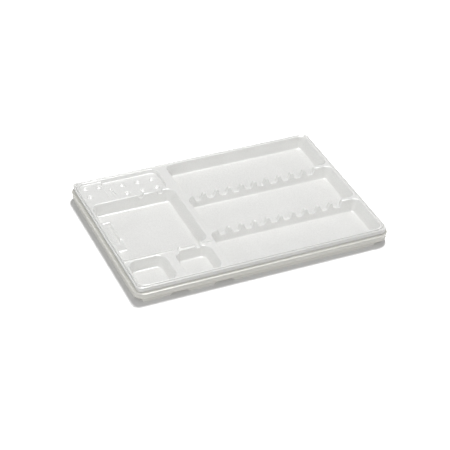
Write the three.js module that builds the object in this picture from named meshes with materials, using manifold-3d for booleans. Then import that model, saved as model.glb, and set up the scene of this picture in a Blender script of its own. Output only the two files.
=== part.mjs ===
// A compartment tray for hand instruments, standing on a shallow base tray.
// Both are thin injection-moulded shells of white polystyrene.
// The compartment tray holds three long troughs with toothed rests between them,
// a square pad compartment, two deep wells and a raised platform for burs and needles.
// It lifts straight up off the flange of the base tray.
// Units are millimetres. +X runs along the long side, +Y from front to back, +Z up.
// The origin is on the table under the middle of the tray.

import * as THREE from 'three';
import { mergeVertices } from 'three/addons/utils/BufferGeometryUtils.js';
import Module from 'manifold-3d';

const wasm = await Module();
wasm.setup();

// ---- driving dimensions -------------------------------------------------------------
const LENGTH = 340;          // over the base tray's flange
const DEPTH = 245;
const HEIGHT = 22;           // table to the crest of the rim bead
const WALL = 1.5;            // moulded wall thickness of both shells
const SEAT_GAP = 0.3;        // between the two shells where one rests on the other

// base tray
const FLANGE_RADIUS = 15;
const FLANGE_TOP = 13.2;
const FLANGE_BOTTOM = 12;
const STEP_INSET = 1.8;      // upper part of the wall, in from the flange
const FOOT_INSET = 3.2;      // lower part of the wall, in from the flange
const STEP_HEIGHT = 5.2;     // top of the lower part, and height of the foot notches
const BASE_INNER_INSET = 4.8;
const NOTCH_DEPTH = 5.6;     // foot notches, in from the flange
const NOTCH_SKIN = 1.3;      // wall round a foot notch inside the base tray

// compartment tray
const RIM_INSET = 3;         // rim's outer edge, in from the flange
const RIM_RADIUS = 8;
const SHOULDER_TOP = 21;
const SHOULDER_BOTTOM = 18.8;
const SHOULDER_ROUND = 1;
const SKIRT_INSET = 1;       // skirt under the shoulder, in from the rim's edge
const BEAD_OUTER_INSET = 3;  // bead round the compartments, in from the rim's edge
const BEAD_INNER_INSET = 5;
const LAND = 21;             // top of the dividers
const LOW_LAND = 19;         // top of the dividers between the front compartments
const FLOOR = 2 * WALL + SEAT_GAP;  // one wall above the base tray's floor and the gap
const END_LEAN = 6;          // an end wall leans in this far from its top to its foot
const SIDE_LEAN = 1.6;       // and a long wall this far

// Compartments: left, right, front and back of the opening, corner radius, floor height.
const LEFT = -162;
const RIGHT = 162.5;
const BACK = 114.5;
const FRONT = -114.5;
const compartments = {
  rear_trough: { x: [-40.5, RIGHT], y: [41, BACK], r: 11, floor: FLOOR },
  middle_trough: { x: [-41, RIGHT], y: [-39, 36], r: 11, floor: FLOOR },
  front_trough: { x: [-44, RIGHT], y: [FRONT, -44], r: 11, floor: FLOOR },
  pad_compartment: { x: [LEFT, -50], y: [-57, 62.5], r: 9, floor: FLOOR },
  left_well: { x: [LEFT, -111], y: [FRONT, -62], r: 12, floor: FLOOR },
  right_well: { x: [-101, -52.5], y: [FRONT, -63.5], r: 12, floor: FLOOR },
  platform_left: { x: [LEFT, -126], y: [66, BACK], r: 8, floor: 19 },
  platform_recess: { x: [-130, -54.5], y: [66, BACK], r: 8, floor: 16.5 },
};
const LOW_AREA = { x: [LEFT, -44], y: [FRONT, -60.5] };

// Rests: rows of round-bottomed notches that hold a handle laid across a divider.
// Each has the X of its notches, the divider's front and back, and the notch's shape.
const TOOTH = { floor: 12.5, halfFloor: 3.2, halfTop: 6.9, skin: 2.4 };
const SMALL_NOTCH = { floor: 16.5, halfFloor: 2.5, halfTop: 4.5, skin: 1.5 };
const TOOTH_COUNT = 10;
const TOOTH_PITCH = 17.6;
const FIRST_TOOTH_X = -25;
const teeth = Array.from({ length: TOOTH_COUNT }, (_, i) => FIRST_TOOTH_X + i * TOOTH_PITCH);
const rests = [
  { centres: teeth, y: [34.5, 42.5], notch: TOOTH },
  { centres: teeth, y: [-45.5, -37.5], notch: TOOTH },
  { centres: [-93.5, -67.5], y: [61, 67], notch: SMALL_NOTCH },
  { centres: [-95, -66.5], y: [-66, -55.5], notch: SMALL_NOTCH },
];

// Round dimples that stand burs and needles up, as [x, y, floor of the platform there].
const DIMPLE_RADIUS = 3;
const DIMPLE_DEPTH = 2.2;
const dimples = [
  ...[[-153.5, 103], [-136, 100.5], [-153.5, 84]].map(([x, y]) => [x, y, 19]),
  ...[[-105.5, 98], [-84.5, 97], [-65.5, 97]].map(([x, y]) => [x, y, 16.5]),
  ...[[-105.5, 78.5], [-84.5, 78], [-65.5, 77.5]].map(([x, y]) => [x, y, 16.5]),
];
const SLOT = { x: [-124, -120], y: [78, 97], floor: 14.2 };

// Grip block on the pad compartment's left wall, with a V groove along its top.
const BLOCK = { x: [-163, -142], y: [-9, 30], top: 15, frontFoot: -21, backFoot: 36 };
const GROOVE = { x: [-158, -146], floorX: [-151.5, -149.5], floor: 10 };

// Notches in the bottom edge of the base tray, as [centre, half width at top, at foot].
const footNotches = [[-113.7, 7.6, 13.4], [-55.6, 9, 14]];
const LEFT_CORNER_CUT = -161;
const RIGHT_CORNER_CUT = 147;
const CORNER_CUT_DEPTH = 12;

// ---- solids -------------------------------------------------------------------------

// Makes a closed three.js geometry into a solid that can be cut and joined.
function solid(geometry) {
  geometry.deleteAttribute('normal');
  geometry.deleteAttribute('uv');
  const merged = mergeVertices(geometry, 1e-4);
  const mesh = new wasm.Mesh({
    numProp: 3,
    vertProperties: merged.attributes.position.array,
    triVerts: new Uint32Array(merged.index.array),
  });
  return new wasm.Manifold(mesh);
}

// Makes a solid back into a mesh of the scene.
function meshOf(body, name, material) {
  const { vertProperties, triVerts, numProp } = body.getMesh();
  const positions = new Float32Array((vertProperties.length / numProp) * 3);
  for (let i = 0; i < positions.length / 3; i += 1) {
    for (let k = 0; k < 3; k += 1) {
      positions[3 * i + k] = vertProperties[numProp * i + k];
    }
  }
  const geometry = new THREE.BufferGeometry();
  geometry.setAttribute('position', new THREE.BufferAttribute(positions, 3));
  geometry.setIndex(new THREE.BufferAttribute(new Uint32Array(triVerts), 1));
  geometry.computeVertexNormals();
  const mesh = new THREE.Mesh(geometry, material);
  mesh.name = name;
  return mesh;
}

// A rectangle with round corners, seen from above.
function roundedRectangle([x0, x1], [y0, y1], radius) {
  const shape = new THREE.Shape();
  shape.absarc(x1 - radius, y1 - radius, radius, 0, Math.PI / 2);
  shape.absarc(x0 + radius, y1 - radius, radius, Math.PI / 2, Math.PI);
  shape.absarc(x0 + radius, y0 + radius, radius, Math.PI, 1.5 * Math.PI);
  shape.absarc(x1 - radius, y0 + radius, radius, 1.5 * Math.PI, 2 * Math.PI);
  shape.closePath();
  return shape;
}

// The tray's outline, drawn in from the flange's edge by inset.
function outline(inset, radius) {
  const x = LENGTH / 2 - inset;
  const y = DEPTH / 2 - inset;
  return roundedRectangle([-x, x], [-y, y], radius);
}

function plate(shape, bottom, top, curveSegments = 5) {
  const options = { depth: top - bottom, bevelEnabled: false, curveSegments };
  const geometry = new THREE.ExtrudeGeometry(shape, options);
  geometry.translate(0, 0, bottom);
  return solid(geometry);
}

function block([x0, x1], [y0, y1], [z0, z1]) {
  const geometry = new THREE.BoxGeometry(x1 - x0, y1 - y0, z1 - z0);
  geometry.translate((x0 + x1) / 2, (y0 + y1) / 2, (z0 + z1) / 2);
  return solid(geometry);
}

// The space inside a compartment, or with grow > 0 the shell round that space.
// It is a plate up past the rim whose outline shrinks evenly towards the floor,
// by END_LEAN at each end and by SIDE_LEAN at each side.
function compartmentSolid({ x, y, r, floor }, grow) {
  const bottom = floor - grow;
  const halfX = (x[1] - x[0]) / 2 + grow;
  const halfY = (y[1] - y[0]) / 2 + grow;
  const share = (LAND - floor) / (LAND - FLOOR);
  const shape = roundedRectangle([-halfX, halfX], [-halfY, halfY], r + grow);
  const geometry = new THREE.ExtrudeGeometry(shape, {
    depth: 2 * (LAND - bottom),
    bevelEnabled: false,
    curveSegments: 5,
  });
  const position = geometry.attributes.position;
  for (let i = 0; i < position.count; i += 1) {
    const down = share * (1 - position.getZ(i) / (LAND - bottom));
    position.setX(i, position.getX(i) * (1 - (END_LEAN * down) / halfX));
    position.setY(i, position.getY(i) * (1 - (SIDE_LEAN * down) / halfY));
  }
  geometry.translate((x[0] + x[1]) / 2, (y[0] + y[1]) / 2, bottom);
  return solid(geometry);
}

// A shape drawn in X and Z and carried along Y.
function alongY(points, [y0, y1]) {
  const shape = new THREE.Shape(points.map(([x, z]) => new THREE.Vector2(x, z)));
  const geometry = new THREE.ExtrudeGeometry(shape, { depth: y1 - y0, bevelEnabled: false });
  geometry.rotateX(Math.PI / 2);
  geometry.translate(0, y1, 0);
  return solid(geometry);
}

// A shape drawn in Y and Z and carried along X.
function alongX(points, [x0, x1]) {
  const shape = new THREE.Shape(points.map(([y, z]) => new THREE.Vector2(y, z)));
  const geometry = new THREE.ExtrudeGeometry(shape, { depth: x1 - x0, bevelEnabled: false });
  geometry.rotateX(Math.PI / 2);
  geometry.rotateZ(Math.PI / 2);
  geometry.translate(x0, 0, 0);
  return solid(geometry);
}

function cylinder(x, y, bottom, top, radius) {
  const geometry = new THREE.CylinderGeometry(radius, radius, top - bottom, 10);
  geometry.rotateX(Math.PI / 2);
  geometry.translate(x, y, (bottom + top) / 2);
  return solid(geometry);
}

// What lies above a row of notches up to z = top, with the notches lowered by drop.
function aboveRest({ centres, y, notch }, drop, top) {
  const points = centres.flatMap((x) => [
    [x - notch.halfTop, LAND - drop],
    [x - notch.halfFloor, notch.floor - drop],
    [x + notch.halfFloor, notch.floor - drop],
    [x + notch.halfTop, LAND - drop],
  ]);
  const first = points[0][0];
  const last = points[points.length - 1][0];
  return alongY([...points, [last, top], [first, top]], y);
}

// ---- compartment tray ---------------------------------------------------------------

function rimBody() {
  const skirt = plate(
    outline(RIM_INSET + SKIRT_INSET, RIM_RADIUS - SKIRT_INSET),
    FLANGE_TOP + SEAT_GAP,
    SHOULDER_TOP,
  );
  const shoulderGeometry = new THREE.ExtrudeGeometry(outline(RIM_INSET, RIM_RADIUS), {
    depth: SHOULDER_TOP - SHOULDER_BOTTOM - 2 * SHOULDER_ROUND,
    bevelEnabled: true,
    bevelThickness: SHOULDER_ROUND,
    bevelSize: SHOULDER_ROUND,
    bevelOffset: -SHOULDER_ROUND,
    bevelSegments: 2,
    curveSegments: 5,
  });
  shoulderGeometry.translate(0, 0, SHOULDER_BOTTOM + SHOULDER_ROUND);
  const bead = plate(
    outline(RIM_INSET + BEAD_OUTER_INSET, RIM_RADIUS - BEAD_OUTER_INSET),
    LAND - WALL,
    HEIGHT,
  );
  const insideBead = plate(
    outline(RIM_INSET + BEAD_INNER_INSET, RIM_RADIUS - BEAD_INNER_INSET),
    LAND,
    HEIGHT + 1,
  );
  const hollow = plate(
    outline(RIM_INSET + SKIRT_INSET + WALL, RIM_RADIUS - SKIRT_INSET - WALL),
    0,
    LAND - WALL,
  );
  return skirt.add(solid(shoulderGeometry)).add(bead).subtract(insideBead).subtract(hollow);
}

function gripBlock() {
  const side = alongX(
    [
      [BLOCK.frontFoot, FLOOR - WALL / 2],
      [BLOCK.backFoot, FLOOR - WALL / 2],
      [BLOCK.y[1], BLOCK.top],
      [BLOCK.y[0], BLOCK.top],
    ],
    BLOCK.x,
  );
  const groove = alongY(
    [
      [GROOVE.floorX[0], GROOVE.floor],
      [GROOVE.floorX[1], GROOVE.floor],
      [GROOVE.x[1], BLOCK.top + 1],
      [GROOVE.x[0], BLOCK.top + 1],
    ],
    [BLOCK.frontFoot - 1, BLOCK.y[1] - 1],
  );
  return side.subtract(groove);
}

function compartmentTray() {
  const underLand = block([-LENGTH, LENGTH], [-DEPTH, DEPTH], [0, LAND - WALL / 2]);
  let shells = null;
  for (const compartment of Object.values(compartments)) {
    const shell = compartmentSolid(compartment, WALL);
    shells = shells ? shells.add(shell) : shell;
  }
  for (const [x, y, floor] of dimples) {
    const boss = cylinder(x, y, floor - DIMPLE_DEPTH - WALL, floor, DIMPLE_RADIUS + WALL);
    shells = shells.add(boss);
  }
  shells = shells.add(
    block(
      [SLOT.x[0] - WALL, SLOT.x[1] + WALL],
      [SLOT.y[0] - WALL, SLOT.y[1] + WALL],
      [SLOT.floor - WALL, SLOT.floor + WALL],
    ),
  );
  for (const rest of rests) {
    shells = shells.add(aboveRest(rest, rest.notch.skin, LAND));
  }
  const lowPlate = block(LOW_AREA.x, LOW_AREA.y, [LOW_LAND - WALL, LOW_LAND]);
  const lowEdge = LOW_AREA.y[1];
  const step = block(LOW_AREA.x, [lowEdge - WALL / 2, lowEdge + WALL], [LOW_LAND - WALL, LAND]);
  let tray = rimBody().add(shells.intersect(underLand)).add(lowPlate).add(step);
  tray = tray.subtract(block(LOW_AREA.x, LOW_AREA.y, [LOW_LAND, HEIGHT]));
  for (const compartment of Object.values(compartments)) {
    tray = tray.subtract(compartmentSolid(compartment, 0));
  }
  for (const [x, y, floor] of dimples) {
    tray = tray.subtract(cylinder(x, y, floor - DIMPLE_DEPTH, floor + 1, DIMPLE_RADIUS));
  }
  tray = tray.subtract(block(SLOT.x, SLOT.y, [SLOT.floor, SLOT.floor + 4]));
  for (const rest of rests) {
    tray = tray.subtract(aboveRest(rest, 0, HEIGHT + 1));
  }
  return tray.add(gripBlock());
}

// ---- base tray ----------------------------------------------------------------------

// The foot notches along the front and round its two corners, each grown by skin.
function frontNotches(skin) {
  const front = -DEPTH / 2;
  const roof = STEP_HEIGHT + skin;
  const corner = [front - 1, front + CORNER_CUT_DEPTH + skin];
  let cuts = block([RIGHT_CORNER_CUT - skin, LENGTH], corner, [-1, roof]);
  cuts = cuts.add(block([-LENGTH, LEFT_CORNER_CUT + skin], corner, [-1, roof]));
  for (const [centre, halfTop, halfFoot] of footNotches) {
    const points = [
      [centre - halfFoot - skin, -1],
      [centre + halfFoot + skin, -1],
      [centre + halfTop + skin, roof],
      [centre - halfTop - skin, roof],
    ];
    cuts = cuts.add(alongY(points, [front - 1, front + CORNER_CUT_DEPTH]));
  }
  return cuts;
}

// The same notches in the front and the back edge, kept outside the outline at depth.
function footNotchSolids(skin, depth) {
  const front = frontNotches(skin);
  const inside = plate(outline(depth, FLANGE_RADIUS - depth), -2, HEIGHT);
  return front.add(front.rotate([0, 0, 180])).subtract(inside);
}

function baseTray() {
  const foot = plate(outline(FOOT_INSET, FLANGE_RADIUS - FOOT_INSET), 0, STEP_HEIGHT);
  const wall = plate(
    outline(STEP_INSET, FLANGE_RADIUS - STEP_INSET),
    STEP_HEIGHT,
    FLANGE_BOTTOM,
  );
  const flange = plate(outline(0, FLANGE_RADIUS), FLANGE_BOTTOM, FLANGE_TOP);
  const hollow = plate(
    outline(BASE_INNER_INSET, FLANGE_RADIUS - BASE_INNER_INSET),
    WALL,
    HEIGHT,
  );
  const body = foot.add(wall).add(flange);
  const housings = footNotchSolids(NOTCH_SKIN, NOTCH_DEPTH + NOTCH_SKIN).intersect(body);
  return body.subtract(hollow).add(housings).subtract(footNotchSolids(0, NOTCH_DEPTH));
}

// ---- the tray -----------------------------------------------------------------------

const trayPlastic = new THREE.MeshStandardMaterial({
  name: 'white_polystyrene',
  color: 0xf1f1ee,
  roughness: 0.28,
  metalness: 0,
});
const basePlastic = new THREE.MeshStandardMaterial({
  name: 'white_polystyrene_base',
  color: 0xe8e8e2,
  roughness: 0.32,
  metalness: 0,
});

const tray = new THREE.Group();
tray.name = 'instrument_tray';
tray.add(meshOf(compartmentTray(), 'compartment_tray', trayPlastic));
tray.add(meshOf(baseTray(), 'base_tray', basePlastic));

export default tray;
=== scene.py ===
"""A white compartment tray standing on a shallow base tray, both moulded polystyrene.

Lengths in the shape functions are millimetres; a mesh is scaled to metres when it is made.
Every surface is a stack of loops or a grid worked out as whole arrays, and every flat is
filled between those loops, so that each of the two mouldings is one closed skin.
"""

import math

import bmesh
import bpy
import numpy as np
from mathutils import Matrix, Vector
from mathutils.geometry import delaunay_2d_cdt


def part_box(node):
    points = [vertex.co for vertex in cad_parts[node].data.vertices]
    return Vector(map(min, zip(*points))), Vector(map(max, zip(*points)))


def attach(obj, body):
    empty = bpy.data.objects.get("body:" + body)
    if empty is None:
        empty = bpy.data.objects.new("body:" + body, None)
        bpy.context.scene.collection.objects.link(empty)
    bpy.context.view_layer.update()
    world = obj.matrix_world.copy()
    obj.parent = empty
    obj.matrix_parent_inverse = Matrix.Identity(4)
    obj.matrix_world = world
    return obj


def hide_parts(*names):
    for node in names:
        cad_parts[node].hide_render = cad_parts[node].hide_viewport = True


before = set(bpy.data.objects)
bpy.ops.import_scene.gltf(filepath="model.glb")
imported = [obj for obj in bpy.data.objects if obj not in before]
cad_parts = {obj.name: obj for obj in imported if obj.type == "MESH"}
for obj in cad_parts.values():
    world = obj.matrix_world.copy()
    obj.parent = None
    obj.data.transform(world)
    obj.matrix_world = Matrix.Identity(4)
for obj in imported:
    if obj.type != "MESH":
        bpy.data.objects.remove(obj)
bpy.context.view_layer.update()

MM = 0.001
WELD = 2e-6                 # points nearer than this, in metres, are one point

# ---- driving dimensions, from the frame and the mouldings -----------------------------
_, BASE_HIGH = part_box("base_tray")
_, TRAY_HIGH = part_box("compartment_tray")
BASE_HALF = (BASE_HIGH.x / MM, BASE_HIGH.y / MM)
RIM_HALF = (TRAY_HIGH.x / MM, TRAY_HIGH.y / MM)
FLANGE_TOP = BASE_HIGH.z / MM
CREST = TRAY_HIGH.z / MM    # crest of the bead round the compartments

WALL = 1.5                  # moulded wall thickness
LAND = 21.0                 # top of the dividers
LOW_LAND = 19.0             # top of the dividers between the front compartments
FLOOR = 3.3
END_LEAN = 6.0              # an end wall leans in this far over its whole height
SIDE_LEAN = 1.6             # and a long wall this far
EDGE_ROUND = 0.9            # rounding of a compartment's top edge
EDGE_REACH = 0.3            # that edge takes its height from the land this far outside it
FOOT_ROUND = 2.4            # rounding where a wall meets the floor
GUARD = 0.25                # flat margin beside a rounding, so that its shading ends cleanly

LEFT, RIGHT = -161.3, 161.4
FRONT, BACK = -113.8, 113.6
# Each compartment's span in X, its span in Y, and its corner radius, all at the land.
COMPARTMENTS = {
    "rear_trough": ((-40.5, RIGHT), (41.0, BACK), 9.5),
    "middle_trough": ((-41.0, RIGHT), (-39.0, 36.0), 9.5),
    "front_trough": ((-44.0, RIGHT), (FRONT, -44.0), 9.5),
    "pad_compartment": ((LEFT, -50.0), (-57.0, 62.5), 10.0),
    "left_well": ((LEFT, -111.0), (FRONT, -62.4), 13.0),
    "right_well": ((-101.0, -52.5), (FRONT, -63.5), 13.0),
}
PLATFORM = ((LEFT, -54.5), (66.0, 112.8), 9.0)
PLATFORM_FLOOR = 18.5
PLATFORM_SLOPE = 0.12       # the platform's wall comes in this far for each millimetre down
PLATFORM_BACK_SLOPE = 0.2   # and its back wall this much further
PLATFORM_EDGE = 0.7         # rounding of that wall's top edge
PLATFORM_FOOT = 0.9         # and of its foot
PLATFORM_UNDER_FOOT = 0.5   # and of its foot on the underside
PLATFORM_REACH = 1.4        # the wall ends at the height of the floor this far in
RECESS_FLOOR = 16.0
RECESS_LEFT = -131.0        # the recess's left edge, with a round corner at the back
RECESS_BACK = 116.0
RECESS_ROUND = 12.0
RECESS_STEP = 1.6           # width of the slope between the platform's two floors
RECESS_OFFSETS = np.linspace(-0.9, 0.9, 7)      # lines of points on and beside that slope
STEP_Y = (-60.8, -60.1)     # where the land steps down to the front dividers
STEP_X = (-42.0, -40.0)

# A notch's floor height, its half widths at the floor and at the land, and the heights
# over which its side is rounded into each of them.
TOOTH = dict(floor=12.5, half_floor=4.6, half_top=7.0, soft_floor=6.5, soft_top=2.6)
SMALL_NOTCH = dict(floor=16.2, half_floor=2.8, half_top=4.4, soft_floor=3.0, soft_top=1.0)
TEETH = -25.0 + 17.6 * np.arange(10)
RESTS = [
    dict(centres=TEETH, y=(34.0, 43.0), notch=TOOTH),
    dict(centres=TEETH, y=(-46.0, -37.0), notch=TOOTH),
    dict(centres=np.array([-93.5, -67.5]), y=(60.5, 67.5), notch=SMALL_NOTCH),
    dict(centres=np.array([-95.0, -66.5]), y=(-78.0, -55.5), notch=SMALL_NOTCH),
]
NOTCH_SKIN = 2.4            # drop from a notch to the underside of its skin
NOTCH_SHARES = np.array([0.0, 0.15, 0.3, 0.42, 0.52, 0.62, 0.72, 0.8, 0.87, 0.94, 1.0, 1.1])
DECK_SPACING = 1.5          # of the extra points along the front step
NOTCH_SPACING = 1.1         # and of those through a notch

DIMPLES = [(-153.5, 103.0), (-136.0, 100.5), (-153.5, 84.0),
           (-105.5, 98.0), (-84.5, 97.0), (-65.5, 97.0),
           (-105.5, 78.5), (-84.5, 78.0), (-65.5, 77.5)]
DIMPLE_RADIUS = 3.6
DIMPLE_DEPTH = 2.5
DIMPLE_SIDES = 24
# A dimple's profile inside and underneath: radius, and height from the floor round it.
DIMPLE_BOWL = [
    (4.4, 0.0), (4.1, 0.0), (3.85, -0.08), (3.6, -0.3), (3.35, -0.65), (2.9, -1.2),
    (2.4, -1.65), (1.9, -1.97), (1.4, -2.2), (0.9, -2.38), (0.4, -2.48),
]
DIMPLE_UNDER = [
    (DIMPLE_RADIUS + 1.3, 0.0), (DIMPLE_RADIUS + 0.9, -1.6),
    (DIMPLE_RADIUS + 0.3, -DIMPLE_DEPTH),
]
SLOT = ((-124.2, -119.8), (77.5, 97.0), 2.1)
SLOT_FLOOR = 14.2
SLOT_SKIN = 1.2             # its wall on the underside
SLOT_SLOPE = 0.2            # its wall comes in this far for each millimetre down
SLOT_EDGE = 0.35            # rounding of its top edge
SLOT_FOOT = 0.9             # and of its foot

BLOCK_TOP = 15.0            # grip block on the pad compartment's left wall
BLOCK_FRONT = (-19.0, -10.0)    # foot and top of its sloping front
BLOCK_BACK = (36.0, 30.5)
BLOCK_RIGHT = (-142.5, -145.8)
BLOCK_END_SOFT = 0.15       # rounding between its two ends, as a share of its height
BLOCK_SIDE_SOFT = 0.12      # and between the ends and its right face
BLOCK_TOP_SOFT = 1.2        # rounding of its top edge
GROOVE_FLOOR = 10.4
# Top and foot of the groove's left side, then foot and top of its right side.
GROOVE_X = (-160.5, -149.6, -149.2, -148.1)
GROOVE_RISE = 1.0           # its sides are aimed this far above the block's top
GROOVE_SOFT = 0.9           # rounding where a side meets the top
GROOVE_END = 28.0
HEEL_RUN = 2.0              # length of the slope at the groove's end

# Each foot notch along the front: its centre, and its half widths at the roof and the foot.
FOOT_NOTCHES = [(-113.7, 7.6, 13.4), (-55.6, 9.0, 14.0)]
LEFT_CORNER_CUT = -161.0
RIGHT_CORNER_CUT = 147.0
CORNER_CUT_Y = -108.0
CORNER_RUN_Y = 2.0          # a corner cut fades in over this far along Y
CORNER_RUN_X = 3.0          # and this far along X
NOTCH_ROOF = 4.6
HOUSING_TOP = 6.5           # top of the wall round a notch, inside the base tray
HOUSING_SKIN = 1.3          # and its thickness


# ---- small helpers --------------------------------------------------------------------
def smoothstep(t):
    """0 below 0, 1 above 1, and 3t^2 - 2t^3 between."""
    t = np.clip(t, 0.0, 1.0)
    return t * t * (3.0 - 2.0 * t)


def soft_min(a, b, width):
    """The smaller of two heights, rounded off where they are within width of each other."""
    h = np.clip(width - np.abs(a - b), 0.0, None) / width
    return np.minimum(a, b) - h * h * width / 4.0


def notch_height(x, centre, notch):
    """A U notch seen from the front: a flat floor, straight sides and rounded joins."""
    u = np.abs(x - centre)
    rise = (LAND - notch["floor"]) / (notch["half_top"] - notch["half_floor"])
    side = notch["floor"] + rise * (u - notch["half_floor"])
    floor = np.full_like(u, notch["floor"])
    bowl = -soft_min(-side, -floor, notch["soft_floor"])
    return soft_min(bowl, np.full_like(u, LAND), notch["soft_top"])


def deck_height(x, y):
    """Height of the land at each point: LAND, less the front step, cut by the notches."""
    lowered = smoothstep((STEP_Y[1] - y) / (STEP_Y[1] - STEP_Y[0]))
    lowered = lowered * smoothstep((STEP_X[1] - x) / (STEP_X[1] - STEP_X[0]))
    z = LAND - (LAND - LOW_LAND) * lowered
    for rest in RESTS:
        inside = (y > rest["y"][0]) & (y < rest["y"][1])
        for centre in rest["centres"]:
            near = inside & (np.abs(x - centre) < rest["notch"]["half_top"] + 1.5)
            z = np.where(near, np.minimum(z, notch_height(x, centre, rest["notch"])), z)
    return z


def under_height(x, y):
    """The land's underside: one wall below it, and a little more under the notches."""
    z = deck_height(x, y)
    return z - WALL - (NOTCH_SKIN - WALL) * smoothstep((LAND - z) / 2.0)


def notch_stations(rest):
    """Where a row of notches needs points along X: closer on the slopes than elsewhere."""
    top = rest["notch"]["half_top"]
    offsets = np.concatenate([-NOTCH_SHARES[:0:-1], NOTCH_SHARES]) * top
    return (rest["centres"][:, None] + offsets[None, :]).ravel()


def platform_height(x, y):
    """The platform's floor: a plate at PLATFORM_FLOOR with the recess sunk into it.
    The step between them follows the recess's edge, a line with a round corner."""
    dx = RECESS_LEFT + RECESS_ROUND - x
    dy = y - (RECESS_BACK - RECESS_ROUND)
    outside = np.hypot(np.clip(dx, 0, None), np.clip(dy, 0, None))
    outside = outside + np.minimum(np.maximum(dx, dy), 0.0) - RECESS_ROUND
    rise = smoothstep(outside / RECESS_STEP + 0.5)
    return RECESS_FLOOR + (PLATFORM_FLOOR - RECESS_FLOOR) * rise


def block_height(x, y):
    """The grip block on the floor: a flat top between sloping ends and a steep right face.
    The groove along it has a long slope on the left and a steep one on the right. It opens
    through the front slope, and a short slope, the heel, closes it at the back."""
    front = (y - BLOCK_FRONT[0]) / (BLOCK_FRONT[1] - BLOCK_FRONT[0])
    back = (BLOCK_BACK[0] - y) / (BLOCK_BACK[0] - BLOCK_BACK[1])
    right = (BLOCK_RIGHT[0] - x) / (BLOCK_RIGHT[0] - BLOCK_RIGHT[1])
    ends = soft_min(front, back, BLOCK_END_SOFT)
    reach = FLOOR + (BLOCK_TOP - FLOOR) * soft_min(ends, right, BLOCK_SIDE_SOFT)
    body = soft_min(reach, np.full_like(x, BLOCK_TOP), BLOCK_TOP_SOFT)
    left_side = (GROOVE_X[1] - x) / (GROOVE_X[1] - GROOVE_X[0])
    right_side = (x - GROOVE_X[2]) / (GROOVE_X[3] - GROOVE_X[2])
    heel = (y - GROOVE_END) / HEEL_RUN + 1.0
    slope = np.maximum(np.maximum(left_side, right_side), np.maximum(heel, 0.0))
    groove = GROOVE_FLOOR + (BLOCK_TOP + GROOVE_RISE - GROOVE_FLOOR) * slope
    return np.maximum(soft_min(body, groove, GROOVE_SOFT), FLOOR)


# ---- outlines -------------------------------------------------------------------------
def outline(x, y, radius, front=(), right=(), back=(), left=(), steps=12):
    """A rectangle with round corners, walked anticlockwise from its front left.
    Each corner is centre + radius * (cos a, sin a) over a quarter turn, and each side
    has the stations asked for on its straight stretch. Gives points and outward normals."""
    corners = [(x[1] - radius, y[0] + radius, -90.0), (x[1] - radius, y[1] - radius, 0.0),
               (x[0] + radius, y[1] - radius, 90.0), (x[0] + radius, y[0] + radius, 180.0)]
    sides = [(np.sort(front), 0, y[0], (0, -1)), (np.sort(right), 1, x[1], (1, 0)),
             (np.sort(back)[::-1], 0, y[1], (0, 1)), (np.sort(left)[::-1], 1, x[0], (-1, 0))]
    margin = radius + 0.05
    points, normals = [], []
    for (stations, along, fixed, normal), (cx, cy, start) in zip(sides, corners):
        span = x if along == 0 else y
        keep = (stations > span[0] + margin) & (stations < span[1] - margin)
        kept = np.asarray(stations, float)[keep]
        straight = np.full((len(kept), 2), float(fixed))
        straight[:, along] = kept
        angle = np.radians(start + np.linspace(0.0, 90.0, steps + 1))
        round_normals = np.stack([np.cos(angle), np.sin(angle)], 1)
        points += [straight, np.array([cx, cy]) + radius * round_normals]
        normals += [np.tile(np.array(normal, float), (len(kept), 1)), round_normals]
    return np.concatenate(points), np.concatenate(normals)


def loop(points, normals, inset, z):
    """One closed loop: the outline moved in by inset, at height z; both may vary along it."""
    flat = points - normals * np.reshape(inset, (-1, 1))
    height = np.broadcast_to(np.asarray(z, float), (len(points),))
    return np.column_stack([flat, height])


def leaning(normals):
    """How far a wall leans in for each millimetre down: more on the ends than the sides."""
    ends = END_LEAN * normals[:, 0] ** 2
    sides = SIDE_LEAN * normals[:, 1] ** 2
    return (ends + sides) / (LAND - FLOOR)


def pocket(points, normals, top, floor, slope, edge, foot, datum=LAND, rows=4):
    """Loops of an open pocket, from the land down to its floor.
    Its wall is inset by slope for each millimetre below datum. The top edge is a quarter
    round of radius edge, and the foot an arc of radius foot that touches wall and floor."""
    loops = []
    if edge > 0:
        loops.append(loop(points, normals, slope * (datum - top) - edge - GUARD, top))
        for turn in np.radians(np.linspace(0.0, 90.0, 6)):
            z = top - edge * (1.0 - math.cos(turn))
            inset = slope * (datum - z) - edge * (1.0 - math.sin(turn))
            loops.append(loop(points, normals, inset, z))
    else:
        loops.append(loop(points, normals, slope * (datum - top), top))
    tilt = np.arctan(slope)
    touch = floor + foot * (1.0 - np.sin(tilt))
    start = top - edge
    for share in np.linspace(0.0, 1.0, rows + 1)[1:-1]:
        z = start + (touch - start) * share
        loops.append(loop(points, normals, slope * (datum - z), z))
    centre = slope * (datum - touch) + foot * np.cos(tilt)
    for share in np.linspace(0.0, 1.0, 8):
        turn = tilt + (math.pi / 2.0 - tilt) * share
        z = floor + foot * (1.0 - np.sin(turn))
        loops.append(loop(points, normals, centre - foot * np.cos(turn), z))
    loops.append(loop(points, normals, centre + GUARD, floor))
    return np.array(loops)


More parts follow.
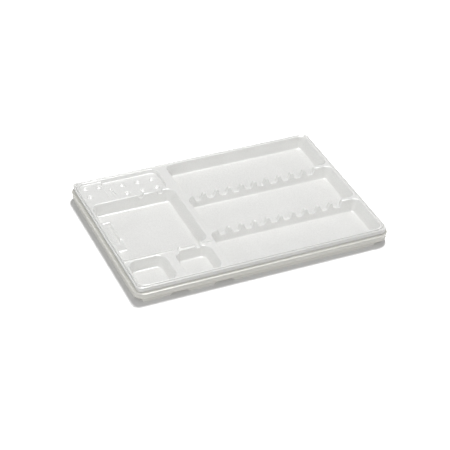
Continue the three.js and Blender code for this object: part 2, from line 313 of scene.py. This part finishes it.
# ---- building a skin ------------------------------------------------------------------
class Skin:
    """Collects grids and filled flats in millimetres, and welds them into one mesh."""

    def __init__(self):
        self.points = []
        self.faces = []
        self.smooth = []
        self.count = 0

    def add(self, points, faces, smooth):
        """Takes in points, and faces whose numbers count from the first of them."""
        self.points.append(points)
        self.faces += (faces + self.count).tolist()
        self.smooth.append(np.broadcast_to(smooth, (len(faces),)))
        self.count += len(points)

    def grid(self, rows, closed=True):
        """Quads between neighbouring rows of points; a closed row joins its ends."""
        count, width = rows.shape[:2]
        column = np.arange(width if closed else width - 1)
        following = (column + 1) % width
        base = np.arange(count - 1)[:, None] * width
        quads = np.stack([base + column, base + following,
                          base + width + following, base + width + column], -1)
        self.add(rows.reshape(-1, 3), quads.reshape(-1, 4), True)

    def fill(self, outer, holes=(), height=None, loose=()):
        """Triangles over the area inside outer and outside every hole. Loose points take
        their height from the height function. A level triangle is shaded flat."""
        rings = [outer, *holes]
        points = np.concatenate(rings)
        extra = np.concatenate([np.zeros((0, 2)), *loose])
        if len(extra):
            extra = extra[within(extra, rings)]
            lifted = np.column_stack([extra, height(extra[:, 0], extra[:, 1])])
            points = np.concatenate([points, lifted])
        edges, start = [], 0
        for ring in rings:
            index = np.arange(len(ring))
            edges.append(np.stack([start + index, start + (index + 1) % len(ring)], 1))
            start += len(ring)
        found = delaunay_2d_cdt(
            [Vector(p) for p in points[:, :2].tolist()],
            np.concatenate(edges).tolist(), [], 0, 1e-7, True)
        flat = np.array([tuple(v) for v in found[0]])
        source = np.array([ids[0] for ids in found[3]])
        triangles = np.array(found[2])
        middle = flat[triangles].mean(1)
        triangles = triangles[within(middle, rings)]
        placed = points[source]
        z = placed[triangles][:, :, 2]
        self.add(placed, triangles, z.max(1) - z.min(1) > 1e-4)

    def mesh(self, name, material):
        """Welds the pieces, turns every face outwards and makes the object in metres."""
        data = bpy.data.meshes.new(name)
        data.from_pydata((np.concatenate(self.points) * MM).tolist(), [], self.faces)
        data.polygons.foreach_set("use_smooth", np.concatenate(self.smooth))
        work = bmesh.new()
        work.from_mesh(data)
        bmesh.ops.remove_doubles(work, verts=work.verts, dist=WELD)
        bmesh.ops.dissolve_degenerate(work, edges=work.edges, dist=WELD)
        bmesh.ops.recalc_face_normals(work, faces=work.faces)
        work.to_mesh(data)
        work.free()
        data.materials.append(material)
        piece = bpy.data.objects.new(name, data)
        bpy.context.scene.collection.objects.link(piece)
        return piece


def within(points, rings):
    """True for the points inside the first ring and outside the others: a ray from each
    point to the right crosses an inside ring an odd number of times."""
    answer = np.ones(len(points), bool)
    for number, ring in enumerate(rings):
        a, b = ring[:, :2], np.roll(ring[:, :2], -1, 0)
        px, py = points[:, 0:1], points[:, 1:2]
        spans = (a[None, :, 1] > py) != (b[None, :, 1] > py)
        rise = np.where(b[:, 1] == a[:, 1], 1.0, b[:, 1] - a[:, 1])
        crossing = a[:, 0] + (py - a[:, 1]) * (b[:, 0] - a[:, 0]) / rise
        inside = (spans & (px < crossing)).sum(1) % 2 == 1
        answer &= inside if number == 0 else ~inside
    return answer


# ---- compartment tray -----------------------------------------------------------------
LONG_STATIONS = np.linspace(-160.0, 160.0, 17)
STEP_STATIONS = np.linspace(STEP_Y[0], STEP_Y[1], 5)
STEP_CORNER = np.linspace(STEP_X[0], STEP_X[1], 5)
BLOCK_STATIONS = np.unique(np.concatenate([
    np.linspace(-23.5, -6.5, 18), np.linspace(-6.5, 24.0, 12), np.linspace(24.0, 38.5, 22)]))
# Rim profile from the skirt's foot to the land: inset from the rim's edge, corner radius
# of the loop there, and height. The groove turns its corners wider than the rim does.
RIM_PROFILE = [
    (3.0, 5.0, 13.5), (1.9, 6.1, 13.5), (1.7, 6.3, 13.5), (1.55, 6.45, 13.55),
    (1.45, 6.55, 13.7), (1.4, 6.6, 13.9), (1.4, 6.6, 15.0), (1.4, 6.6, 16.5),
    (1.4, 6.6, 18.0), (1.3, 6.7, 18.25), (0.9, 7.1, 18.5), (0.35, 7.65, 18.75),
    (0.06, 7.94, 19.05), (0.0, 8.0, 19.4), (0.0, 8.0, 19.8), (0.1, 7.9, 20.2),
    (0.3, 7.8, 20.5), (0.6, 7.8, 20.72), (1.0, 8.0, 20.82), (1.3, 9.0, 20.75),
    (1.48, 10.6, 20.45), (1.56, 11.6, 20.0), (1.62, 12.0, 19.6), (1.7, 12.1, 19.3),
    (1.85, 12.1, 19.2), (2.3, 12.1, 19.2), (2.44, 12.0, 19.3), (2.42, 11.9, 20.2),
    (2.36, 11.8, 21.1), (2.46, 11.7, 21.5), (2.75, 11.5, 21.85), (3.2, 11.4, CREST),
    (3.7, 11.1, 21.95), (4.0, 10.9, 21.65), (4.12, 10.8, 21.2),
]
RIM_FOOT = (4.3, 10.6)      # inset and radius of the loop where the bead meets the land
HOLLOW_TOP = 18.9           # the skirt's inside is upright to here
HOLLOW_LEAN = 0.15          # and leans in this far above it


def rim_outline(inset, radius):
    """The rim's outline at an inset, with its own corner radius; every loop of it has the
    same stations, so that neighbouring loops join."""
    x = (inset - RIM_HALF[0], RIM_HALF[0] - inset)
    y = (inset - RIM_HALF[1], RIM_HALF[1] - inset)
    long_side = np.concatenate([np.linspace(-148.0, 148.0, 22), STEP_CORNER])
    short_side = np.concatenate([np.linspace(-100.0, 100.0, 15), STEP_STATIONS])
    return outline(x, y, radius, front=long_side, right=short_side, back=long_side,
                   left=short_side)


def rim_loop(inset, radius, z):
    """One loop of the rim's profile; its height z is a number or a function of place."""
    points, normals = rim_outline(inset, radius)
    height = z(points[:, 0], points[:, 1]) if callable(z) else z
    return loop(points, normals, 0.0, height)


def compartment_outline(name):
    """A compartment's top outline, with stations wherever a rest or a step crosses it."""
    x, y, radius = COMPARTMENTS[name]
    front, back = [LONG_STATIONS], [LONG_STATIONS]
    for rest in RESTS:
        middle = (max(rest["y"][0], y[0]) + min(rest["y"][1], y[1])) / 2.0
        if rest["y"][0] < y[0] < rest["y"][1]:
            front.append(notch_stations(rest))
        if rest["y"][0] < y[1] < rest["y"][1]:
            back.append(notch_stations(rest))
    ends = np.concatenate([np.linspace(-100.0, 100.0, 15), STEP_STATIONS])
    left = BLOCK_STATIONS if name == "pad_compartment" else ends
    return outline(x, y, radius, front=np.concatenate(front), right=ends,
                   back=np.concatenate(back), left=left, steps=18)


def compartment_loops(name, under):
    """A compartment's inner face, or with under its outer face, one wall outside it."""
    points, normals = compartment_outline(name)
    slope = leaning(normals)
    if under:
        points = points + normals * WALL
        top = under_height(points[:, 0], points[:, 1])
        return pocket(points, normals, top, FLOOR - WALL, slope, 0.0, FOOT_ROUND + WALL)
    edge_points = points + normals * EDGE_REACH
    top = deck_height(edge_points[:, 0], edge_points[:, 1])
    return pocket(points, normals, top, FLOOR, slope, EDGE_ROUND, FOOT_ROUND)


def add_grip_block(skin, loops):
    """Raises the grip block out of the pad compartment's wall foot and floor.
    Gives the floor's boundary, with the block's patch of floor left out."""
    on_left = (np.abs(loops[0, :, 0] - loops[0, :, 0].min()) < 0.01)
    on_left &= (loops[0, :, 1] > BLOCK_STATIONS[0] - 0.01)
    on_left &= (loops[0, :, 1] < BLOCK_STATIONS[-1] + 0.01)
    lifted = block_height(loops[:, on_left, 0], loops[:, on_left, 1])
    loops[:, on_left, 2] = np.maximum(loops[:, on_left, 2], lifted)
    column = np.nonzero(on_left)[0]
    edge = loops[-1, column]
    start = edge[0, 0]
    across = np.unique(np.concatenate([
        [start], np.linspace(start + 0.5, GROOVE_X[1] - 0.5, 8),
        np.linspace(GROOVE_X[1] - 0.3, GROOVE_X[3] + 0.3, 14),
        np.linspace(GROOVE_X[3] + 0.5, BLOCK_RIGHT[0] + 0.6, 14)]))
    x, y = np.meshgrid(across, edge[:, 1], indexing="ij")
    patch = np.stack([x, y, block_height(x, y)], -1)
    patch[0] = edge
    skin.grid(patch, closed=False)
    around = np.concatenate([patch[:, 0], patch[-1, 1:], patch[-2::-1, -1]])
    before, after = loops[-1, :column[0]], loops[-1, column[-1] + 1:]
    return np.concatenate([before, around, after])


def dimple_rings(x, y, floor, under):
    """Rings of one dimple, a small cup with a rounded lip and a flat bottom: circles of the
    profile's radii about (x, y), at its heights from the floor."""
    angle = np.linspace(0.0, 2.0 * math.pi, DIMPLE_SIDES, endpoint=False)
    circle = np.stack([np.cos(angle), np.sin(angle)], 1)
    profile = DIMPLE_UNDER if under else DIMPLE_BOWL
    level = floor - WALL if under else floor
    return np.array([np.column_stack([np.array([x, y]) + radius * circle,
                                      np.full(DIMPLE_SIDES, level + z)])
                     for radius, z in profile])


def slot_loops(under):
    """Loops of the slot in the recess, or with under of its underside, one skin outside."""
    x, y, radius = SLOT
    points, normals = outline(x, y, radius, steps=8)
    if under:
        level = RECESS_FLOOR - WALL
        return pocket(points + normals * SLOT_SKIN, normals, np.full(len(points), level),
                      SLOT_FLOOR - WALL, SLOT_SLOPE, 0.0, SLOT_FOOT, datum=level, rows=2)
    return pocket(points, normals, np.full(len(points), RECESS_FLOOR), SLOT_FLOOR,
                  SLOT_SLOPE, SLOT_EDGE, SLOT_FOOT, datum=RECESS_FLOOR, rows=2)


def recess_rows():
    """Extra points on the platform: lines that follow the recess's straight left edge and
    its round corner, RECESS_ROUND + offset from the corner's centre."""
    rows = []
    straight = np.arange(68.0, RECESS_BACK - RECESS_ROUND, 1.5)
    turn = np.radians(np.linspace(180.0, 95.0, 14))
    for offset in RECESS_OFFSETS:
        edge = np.column_stack([np.full_like(straight, RECESS_LEFT - offset), straight])
        corner = np.column_stack([
            RECESS_LEFT + RECESS_ROUND + (RECESS_ROUND + offset) * np.cos(turn),
            RECESS_BACK - RECESS_ROUND + (RECESS_ROUND + offset) * np.sin(turn)])
        rows += [edge, corner]
    return rows


def platform_wall(under, drop):
    """Loops of the platform's wall, from the land down to its two floors, lowered by drop.
    The wall comes in by PLATFORM_SLOPE, and more where its normal turns to the back."""
    x, y, radius = PLATFORM
    step_x = np.linspace(RECESS_LEFT - 2.0, RECESS_LEFT + 5.0, 15)
    front = np.concatenate([LONG_STATIONS, notch_stations(RESTS[2]), step_x])
    back = np.concatenate([LONG_STATIONS, step_x])
    ends = np.linspace(70, 108, 5)
    points, normals = outline(x, y, radius, front=front, right=ends, back=back, left=ends)
    foot_points = points - normals * PLATFORM_REACH
    floor = platform_height(foot_points[:, 0], foot_points[:, 1])
    slope = PLATFORM_SLOPE + PLATFORM_BACK_SLOPE * np.clip(normals[:, 1], 0.0, 1.0) ** 2
    if under:
        points = points + normals * WALL
        top = under_height(points[:, 0], points[:, 1])
        return pocket(points, normals, top, floor - drop, slope, 0.0,
                      PLATFORM_UNDER_FOOT, rows=2)
    top = deck_height(points[:, 0], points[:, 1])
    return pocket(points, normals, top, floor, slope, PLATFORM_EDGE, PLATFORM_FOOT, rows=3)


def add_platform(skin, under):
    """The platform: its wall, its two floors with the step between them, the dimples
    and the slot. Gives the loop where it meets the land."""
    drop = WALL if under else 0.0

    def height(px, py):
        return platform_height(px, py) - drop

    wall = platform_wall(under, drop)
    wall[-1, :, 2] = height(wall[-1, :, 0], wall[-1, :, 1])
    skin.grid(wall)
    holes = []
    for x, y in DIMPLES:
        level = float(platform_height(np.array([x]), np.array([y]))[0])
        rings = dimple_rings(x, y, level, under)
        skin.grid(rings)
        skin.fill(rings[-1])
        holes.append(rings[0])
    slot = slot_loops(under)
    skin.grid(slot)
    skin.fill(slot[-1])
    holes.append(slot[0])
    skin.fill(wall[-1], holes, height, recess_rows())
    return wall[0]


def deck_rows():
    """Extra points on the land: across the notches and along the front step."""
    rows = []
    for rest in RESTS:
        for y in np.arange(rest["y"][0] + 0.5, rest["y"][1], NOTCH_SPACING):
            x = notch_stations(rest)
            rows.append(np.column_stack([x, np.full_like(x, y)]))
    x = np.arange(LEFT, STEP_X[1] + DECK_SPACING, DECK_SPACING)
    for y in np.linspace(STEP_Y[0] - 0.1, STEP_Y[1] + 0.1, 7):
        rows.append(np.column_stack([x, np.full_like(x, y)]))
    return rows


def compartment_tray(material):
    """The upper moulding: rim, land, compartments, platform and all their undersides."""
    skin = Skin()
    upper = [rim_loop(*station) for station in RIM_PROFILE]
    upper.append(rim_loop(*RIM_FOOT, deck_height))
    skin.grid(np.array(upper))
    inner = RIM_PROFILE[0]
    hollow = [rim_loop(inner[0], inner[1], z) for z in (inner[2], HOLLOW_TOP)]
    hollow.append(rim_loop(inner[0] + HOLLOW_LEAN, inner[1] - HOLLOW_LEAN, under_height))
    skin.grid(np.array(hollow))
    for under, boundary in ((False, upper[-1]), (True, hollow[-1])):
        holes = []
        for name in COMPARTMENTS:
            loops = compartment_loops(name, under)
            floor = loops[-1]
            if name == "pad_compartment" and not under:
                floor = add_grip_block(skin, loops)
            skin.grid(loops)
            skin.fill(floor)
            holes.append(loops[0])
        holes.append(add_platform(skin, under))
        skin.fill(boundary, holes, under_height if under else deck_height, deck_rows())
    return skin.mesh("compartment_tray_moulding", material)


# ---- base tray ------------------------------------------------------------------------
BASE_RADIUS = 15.0
# Outer profile from the seat to the foot: inset from the flange's edge, and height.
BASE_PROFILE = [
    (5.3, 12.6), (5.3, 12.9), (5.2, 13.1), (5.0, FLANGE_TOP), (4.75, FLANGE_TOP),
    (1.5, FLANGE_TOP), (1.15, FLANGE_TOP), (0.7, 13.12), (0.32, 12.92), (0.08, 12.6),
    (0.0, 12.3), (0.08, 12.1), (0.35, 11.97), (0.7, 11.95), (1.4, 11.92), (1.65, 11.8),
    (1.78, 11.6), (1.8, 11.3), (1.8, 9.0), (1.85, 6.7), (1.78, 6.4), (1.5, 6.25),
    (1.15, 6.15), (0.92, 5.9), (0.88, 5.6), (1.0, 5.35), (1.3, 5.25),
    (2.2, 5.2), (2.5, 5.12), (2.62, 4.95),
]
FOOT_OUT, FOOT_IN = 2.8, 5.6    # outer face of the foot, and depth of its notches
FOOT_EDGE = 0.3             # height of the rounding under the foot
FOOT_WALL = 0.1             # the foot's wall stands this far outside FOOT_OUT
FOOT_SHARES = (0.05, 0.1, 0.9)  # where that wall has loops, as shares of its height
# The rounding under the foot: inset past FOOT_OUT, and height from the foot's level.
FOOT_PROFILE = [(-0.08, FOOT_EDGE), (0.05, 0.1), (0.4, 0.0)]
FOOT_TREAD = 1.2            # width of the foot's flat behind its notches
FOOT_BEVEL = 1.6            # and with the bevel up to the floor's underside
UNDERSIDE = 0.4
HOUSING_IN = 6.9


def base_outline(inset):
    """The base tray's outline moved in by inset, with close stations over the notches."""
    x = (inset - BASE_HALF[0], BASE_HALF[0] - inset)
    y = (inset - BASE_HALF[1], BASE_HALF[1] - inset)
    radius = BASE_RADIUS - inset
    close = np.concatenate([np.linspace(-154.0, -140.0, 15), np.linspace(-130.0, -97.0, 45),
                            np.linspace(-72.0, -39.0, 45)])
    long_side = np.unique(np.concatenate([close, -close, np.linspace(-30.0, 30.0, 5)]))
    short_side = np.concatenate([np.linspace(-107.0, -98.0, 10), np.linspace(-90, 90, 7),
                                 np.linspace(98.0, 107.0, 10)])
    return outline(x, y, radius, front=long_side, right=short_side, back=long_side,
                   left=short_side, steps=16)


def notch_share(x, y, grow):
    """1 inside a foot notch and 0 outside it, with sloping sides; the notches in the back
    edge are the front ones turned half round. grow widens them for their housings."""
    share = np.zeros_like(x)
    for px, py in ((x, y), (-x, -y)):
        for centre, half_top, half_foot in FOOT_NOTCHES:
            slope = half_foot - half_top
            inside = (half_foot + grow - np.abs(px - centre)) / slope
            share = np.maximum(share, np.where(py < -100.0, inside, 0.0))
        deep = (CORNER_CUT_Y + grow - py) / CORNER_RUN_Y
        right = np.minimum((px - RIGHT_CORNER_CUT + grow) / CORNER_RUN_X, deep)
        left = np.minimum((LEFT_CORNER_CUT + grow - px) / CORNER_RUN_X, deep)
        share = np.maximum(share, np.maximum(right, left))
    return np.clip(share, 0.0, 1.0)


def base_tray(material):
    """The lower moulding: floor, inner wall with the housings of the foot notches, seat
    flange, stepped outer wall, and a foot ring broken by the notches."""
    skin = Skin()
    points, normals = base_outline(0.0)
    housed = notch_share(points[:, 0], points[:, 1], HOUSING_SKIN)
    housing = WALL + (HOUSING_TOP - WALL) * housed
    foot = NOTCH_ROOF * notch_share(points[:, 0], points[:, 1], 0.0)
    loops = [loop(points, normals, inset, z) for inset, z in (
        (HOUSING_IN + GUARD, WALL), (HOUSING_IN, WALL), (HOUSING_IN, housing),
        (BASE_PROFILE[0][0], housing))]
    loops += [loop(points, normals, inset, z) for inset, z in BASE_PROFILE]
    shoulder = BASE_PROFILE[-1][1]
    for share in FOOT_SHARES:
        drop = (shoulder - foot - FOOT_EDGE) * share
        loops.append(loop(points, normals, FOOT_OUT - FOOT_WALL, shoulder - drop))
    for inset, lift in FOOT_PROFILE:
        loops.append(loop(points, normals, FOOT_OUT + inset, foot + lift))
    loops += [loop(points, normals, inset, z) for inset, z in (
        (FOOT_IN, foot), (FOOT_IN, 0.0), (FOOT_IN + FOOT_TREAD, 0.0),
        (FOOT_IN + FOOT_BEVEL, UNDERSIDE), (FOOT_IN + FOOT_BEVEL + GUARD, UNDERSIDE))]
    skin.grid(np.array(loops))
    skin.fill(loops[0])
    skin.fill(loops[-1])
    return skin.mesh("base_tray_moulding", material)


# ---- materials ------------------------------------------------------------------------
FLOW_LENGTH = 0.045         # metres: the flow shades, the orange peel and the grain
PEEL_WIDTH = 0.002
GRAIN_WIDTH = 0.0006
PEEL_DEPTH = 0.00003


def linear(code):
    """An sRGB hex colour as linear RGBA."""
    channels = [int(code[i:i + 2], 16) / 255.0 for i in (0, 2, 4)]
    turned = [c / 12.92 if c <= 0.04045 else ((c + 0.055) / 1.055) ** 2.4 for c in channels]
    return (*turned, 1.0)


def node(tree, kind, links=(), **settings):
    """Adds a node. settings are its properties, or the values of its named inputs when
    they are given as inputs={name: value}; links are (output socket, input name) pairs."""
    made = tree.nodes.new(kind)
    for name, value in settings.pop("inputs", {}).items():
        made.inputs[name].default_value = value
    for name, value in settings.items():
        setattr(made, name, value)
    for socket, name in links:
        tree.links.new(socket, made.inputs[name])
    return made


def moulded_polystyrene(name, deep_tone, tone, roughness):
    """High-impact polystyrene, injection moulded against a polished steel tool.
    The steel leaves a glossy skin with a faint orange peel about 2 mm across, soft flow
    shades tens of millimetres long where the melt ran, and a fine grain that spreads the
    highlights a little more in some places than in others."""
    material = bpy.data.materials.new(name)
    material.use_nodes = True
    tree = material.node_tree
    shader = tree.nodes["Principled BSDF"]
    place = node(tree, "ShaderNodeTexCoord").outputs["Object"]
    flow = node(tree, "ShaderNodeTexNoise", [(place, "Vector")],
                inputs={"Scale": 1.0 / FLOW_LENGTH, "Detail": 3.0, "Roughness": 0.55})
    peel = node(tree, "ShaderNodeTexNoise", [(place, "Vector")],
                inputs={"Scale": 1.0 / PEEL_WIDTH, "Detail": 2.0, "Roughness": 0.5})
    grain = node(tree, "ShaderNodeTexNoise", [(place, "Vector")],
                 inputs={"Scale": 1.0 / GRAIN_WIDTH, "Detail": 2.0, "Roughness": 0.6})
    shade = node(tree, "ShaderNodeValToRGB", [(flow.outputs["Fac"], "Fac")])
    shade.color_ramp.elements[0].position = 0.3
    shade.color_ramp.elements[0].color = linear(deep_tone)
    shade.color_ramp.elements[1].position = 0.7
    shade.color_ramp.elements[1].color = linear(tone)
    tree.links.new(shade.outputs["Color"], shader.inputs["Base Color"])
    spread = node(tree, "ShaderNodeMapRange", [(grain.outputs["Fac"], "Value")],
                  inputs={"From Min": 0.3, "From Max": 0.7, "To Min": roughness - 0.03,
                          "To Max": roughness + 0.05})
    tree.links.new(spread.outputs["Result"], shader.inputs["Roughness"])
    relief = node(tree, "ShaderNodeBump", [(peel.outputs["Fac"], "Height")],
                  inputs={"Strength": 0.12, "Distance": PEEL_DEPTH})
    tree.links.new(relief.outputs["Normal"], shader.inputs["Normal"])
    shader.inputs["IOR"].default_value = 1.59
    shader.inputs["Metallic"].default_value = 0.0
    return material


# ---- the two mouldings ----------------------------------------------------------------
tray_material = moulded_polystyrene("white_moulded_polystyrene", "e3e3e1", "e7e7e5", 0.26)
base_material = moulded_polystyrene("white_moulded_polystyrene_base", "dddcd5", "e1e0da", 0.3)

tray = compartment_tray(tray_material)
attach(tray, "insert")
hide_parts("compartment_tray")

base = base_tray(base_material)
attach(base, "base")
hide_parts("base_tray")


# ---- floor, light and camera ----------------------------------------------------------
def studio_floor(half, steps):
    """A plain pale floor at z = 0: a square grid of level quads."""
    side = np.linspace(-half, half, steps)
    x, y = np.meshgrid(side, side)
    skin = Skin()
    skin.grid(np.stack([x, y, np.zeros_like(x)], -1) / MM, closed=False)
    material = bpy.data.materials.new("pale_floor")
    material.use_nodes = True
    shader = material.node_tree.nodes["Principled BSDF"]
    shader.inputs["Base Color"].default_value = linear("fafafa")
    shader.inputs["Roughness"].default_value = 0.9
    shader.inputs["Specular IOR Level"].default_value = 0.1
    return skin.mesh("studio_floor", material)


FLOOR_HALF = 3.0            # metres
SURROUND_STRENGTH = 0.47

floor = studio_floor(FLOOR_HALF, 9)
floor.visible_diffuse = False   # the soft surround lights the tray from below instead


def softbox(name, place, size, power, subjects):
    """A square area light at place that faces the tray and lights only its subjects."""
    data = bpy.data.lights.new(name, "AREA")
    data.shape = "SQUARE"
    data.size = size
    data.energy = power
    lamp = bpy.data.objects.new(name, data)
    lamp.location = place
    lamp.rotation_euler = (-Vector(place)).to_track_quat("-Z", "Y").to_euler()
    bpy.context.scene.collection.objects.link(lamp)
    lit = bpy.data.collections.new(name + "_subjects")
    for subject in subjects:
        lit.objects.link(subject)
    lamp.light_linking.receiver_collection = lit
    return lamp


# The floor has its own lamp, so that it stays white while the tray is lit softly.
softbox("floor_lamp", (0.65, 0.8, 1.75), 0.7, 85.0, [floor])
softbox("top_softbox", (0.2, 0.15, 1.8), 0.6, 10.5, [tray, base])
softbox("side_softbox", (1.5, 0.3, 1.2), 0.8, 4.0, [tray, base])
softbox("front_fill", (-0.6, -2.0, 1.3), 1.5, 12.0, [tray, base])
softbox("left_fill", (-2.0, -0.5, 1.2), 1.5, 9.0, [tray, base])
# A lamp overhead that only shows as a glint in the rounded edges.
glint = softbox("overhead_glint", (0.05, 0.1, 2.0), 0.6, 130.0, [tray, base])
glint.visible_diffuse = False

world = bpy.data.worlds.new("studio_surround")
bpy.context.scene.world = world
world.use_nodes = True
world.node_tree.nodes["Background"].inputs["Color"].default_value = linear("ffffff")
world.node_tree.nodes["Background"].inputs["Strength"].default_value = SURROUND_STRENGTH
bpy.context.scene.view_settings.view_transform = "Standard"

CAMERA_AZIMUTH = -24.354    # degrees from the -Y side towards the -X side
CAMERA_ELEVATION = 35.566
CAMERA_ROLL = 1.612
CAMERA_DISTANCE = 2.0535
CAMERA_AIM = (-0.01929, -0.03669, 0.0203)
CAMERA_LENS = 131.96        # millimetres, on a 36 mm wide sensor


def add_camera():
    """A camera on a sphere round its aim, rolled about its own axis."""
    turn, rise = math.radians(CAMERA_AZIMUTH), math.radians(CAMERA_ELEVATION)
    back = Vector((math.sin(turn) * math.cos(rise), -math.cos(turn) * math.cos(rise),
                   math.sin(rise)))
    right = Vector((math.cos(turn), math.sin(turn), 0.0))
    frame_axes = Matrix((right, back.cross(right), back)).transposed()
    roll = Matrix.Rotation(math.radians(CAMERA_ROLL), 3, "Z")
    data = bpy.data.cameras.new("camera")
    data.sensor_width = 36.0
    data.lens = CAMERA_LENS
    camera = bpy.data.objects.new("camera", data)
    place = Matrix.Translation(Vector(CAMERA_AIM) + back * CAMERA_DISTANCE)
    camera.matrix_world = place @ (frame_axes @ roll).to_4x4()
    bpy.context.scene.collection.objects.link(camera)
    bpy.context.scene.camera = camera


add_camera()
